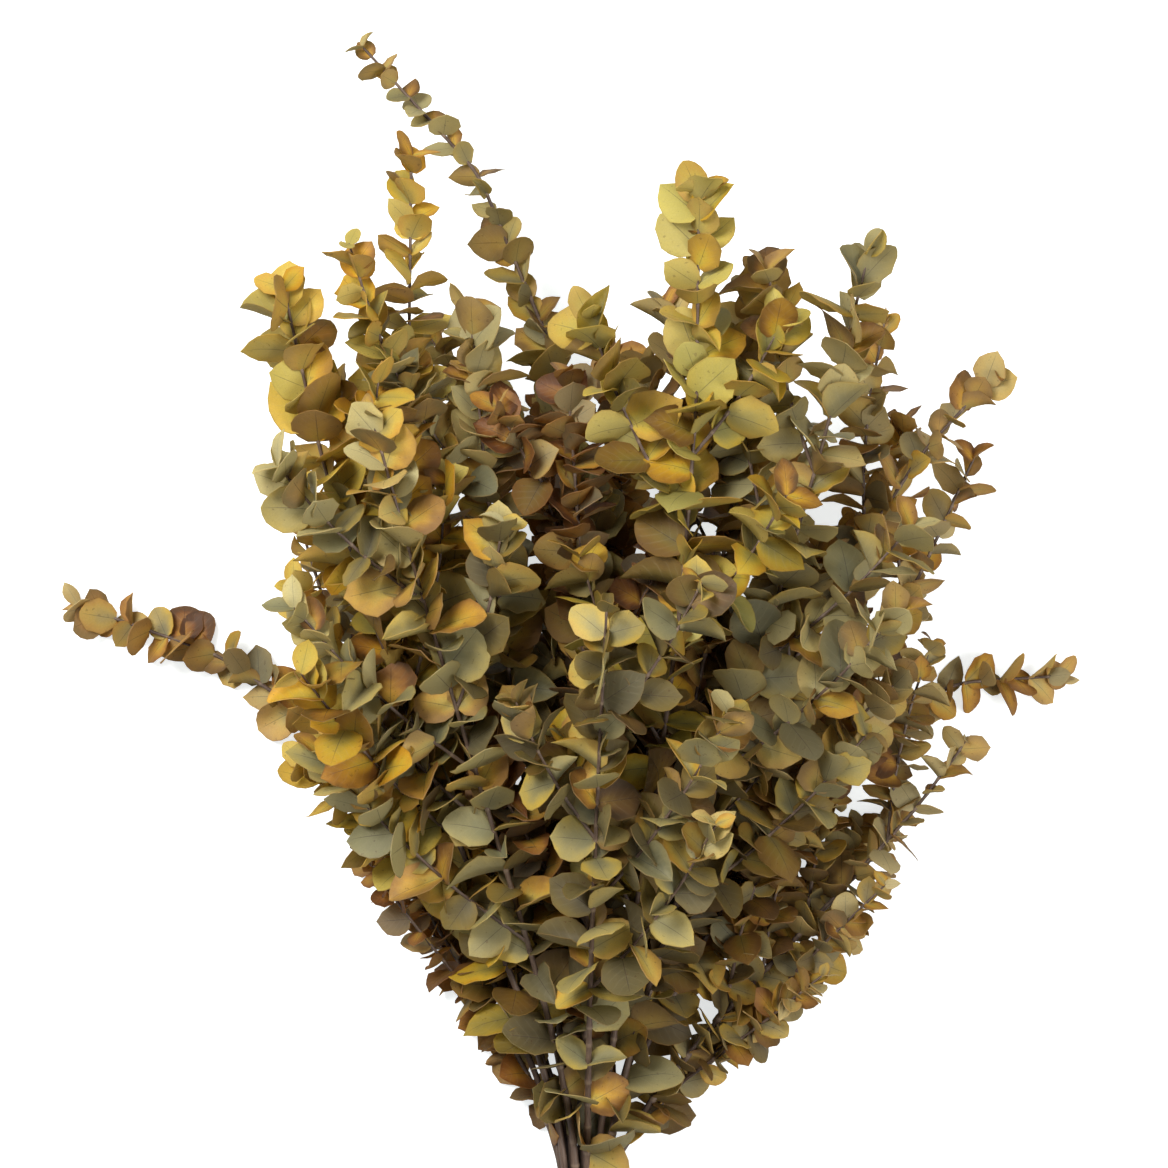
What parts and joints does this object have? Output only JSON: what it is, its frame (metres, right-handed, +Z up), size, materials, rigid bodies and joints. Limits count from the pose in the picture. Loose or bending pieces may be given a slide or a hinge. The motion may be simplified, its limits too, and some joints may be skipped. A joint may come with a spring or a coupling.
{
  "type": "dried eucalyptus bunch",
  "caption": "Bunch of dried eucalyptus, lying down: long brown stems fan out from an elastic band, with pairs of round leaves in gold, tan, olive and rust. For decoration.",
  "frame": {"origin": "middle of the bunch's outline as seen from above, on the surface that it lies on", "axes": "+Y from the cut ends towards the leafy tips, +X to the right as seen from above with the tips away, +Z up from the surface"},
  "size_m": [0.6236, 0.7764, 0.2239],
  "materials": {
    "leaf_gold": "dry, matt, golden yellow",
    "leaf_lemon": "dry, matt, pale yellow",
    "leaf_sage": "dry, matt, grey-green",
    "leaf_olive": "dry, matt, olive",
    "leaf_tan": "dry, matt, tan",
    "leaf_amber": "dry, matt, amber",
    "leaf_rust": "dry, matt, rust brown",
    "bark": "smooth dark brown bark",
    "elastic": "satin, natural rubber"
  },
  "bodies": {
    "root": {"stem_lower_left": "leaf_rust", "stem_far_left": "leaf_amber", "stem_under": "leaf_rust", "stem_far_right": "leaf_amber", "stem_low_right": "leaf_tan", "stem_left": "leaf_tan", "stem_long_tip": "leaf_olive", "stem_back": "leaf_rust", "stem_amber": "leaf_amber", "stem_lower_right": "leaf_tan", "stem_yellow_left": "leaf_gold", "stem_olive_left": "leaf_olive", "stem_rust": "leaf_rust", "stem_tan_top": "leaf_tan", "stem_tan_right": "leaf_tan", "stem_gold": "leaf_gold", "stem_pale_left": "leaf_sage", "stem_sage": "leaf_sage", "stem_lemon": "leaf_lemon", "stem_olive_right": "leaf_olive", "band": "elastic"}
  },
  "joints": []
}
